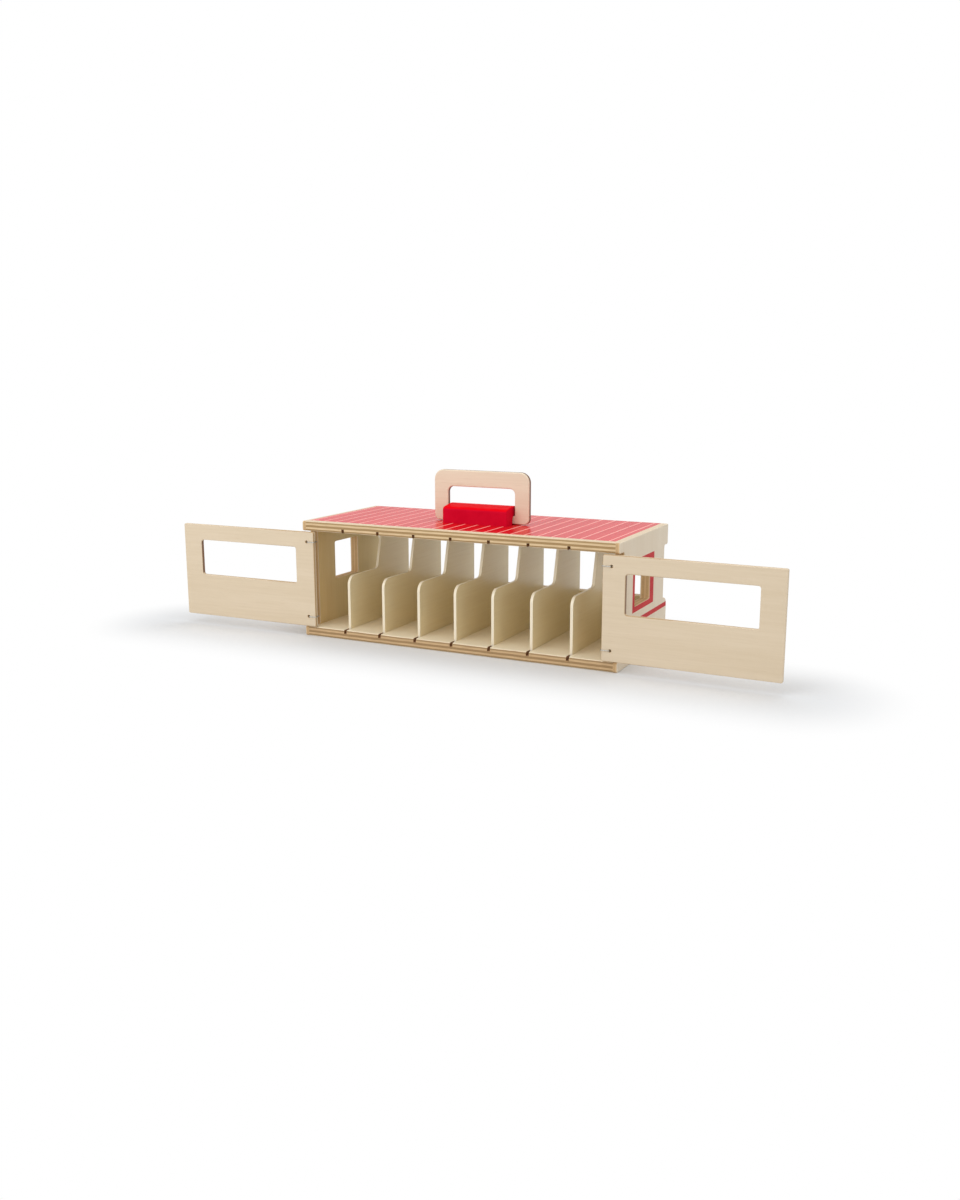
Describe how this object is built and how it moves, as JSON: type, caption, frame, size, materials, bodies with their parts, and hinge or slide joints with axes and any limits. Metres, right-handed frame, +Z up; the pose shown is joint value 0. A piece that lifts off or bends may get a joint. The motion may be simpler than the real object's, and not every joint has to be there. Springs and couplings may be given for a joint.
{
  "type": "toy stable",
  "caption": "Take-along wooden toy stable: plywood box with side-by-side stalls, red plank-lined roof, folding carry handle and two windowed doors on wire hinges",
  "frame": {"origin": "under the middle of the base, on the floor", "axes": "+X to the right along the stable, +Y to the closed back, +Z up"},
  "size_m": [0.675, 0.1573, 0.1806],
  "materials": {
    "plywood": "clear satin varnish on pale plywood",
    "door_plywood": "clear satin varnish on thin pale plywood",
    "handle_plywood": "clear satin varnish, sanded round edges",
    "red_roof": "gloss red paint with pale plank lines on plywood",
    "red_paint": "gloss red paint on solid wood",
    "steel_wire": "bright drawn steel"
  },
  "bodies": {
    "stable": {"base_panel": "plywood", "roof_panel": "red_roof", "left_end_wall": "plywood", "right_end_wall": "plywood", "divider_1": "plywood", "divider_2": "plywood", "divider_3": "plywood", "divider_4": "plywood", "divider_5": "plywood", "divider_6": "plywood", "divider_7": "plywood", "back_wall": "plywood", "back_top_rail": "plywood", "handle_block": "red_paint", "handle_block_screws": "steel_wire", "left_upper_hinge_staple": "steel_wire", "left_lower_hinge_staple": "steel_wire", "right_upper_hinge_staple": "steel_wire", "right_lower_hinge_staple": "steel_wire"},
    "left_door": {"left_door": "door_plywood", "left_upper_hinge_eye": "steel_wire", "left_lower_hinge_eye": "steel_wire"},
    "right_door": {"right_door": "door_plywood", "right_upper_hinge_eye": "steel_wire", "right_lower_hinge_eye": "steel_wire"},
    "carry_handle": {"carry_handle": "handle_plywood"}
  },
  "joints": [
    {"name": "left_door_swing", "type": "hinge", "parent": "stable", "child": "left_door", "pos_m": [-0.16905, -0.0722, 0.063], "axis": [0, 0, 1], "range_deg": [-5, 178.7]},
    {"name": "right_door_swing", "type": "hinge", "parent": "stable", "child": "right_door", "pos_m": [0.16905, -0.0722, 0.063], "axis": [0, 0, -1], "range_deg": [-5, 178.7]},
    {"name": "handle_fold", "type": "hinge", "parent": "stable", "child": "carry_handle", "pos_m": [0, -0.003, 0.1308], "axis": [1, 0, 0], "range_deg": [-90, 90]}
  ]
}
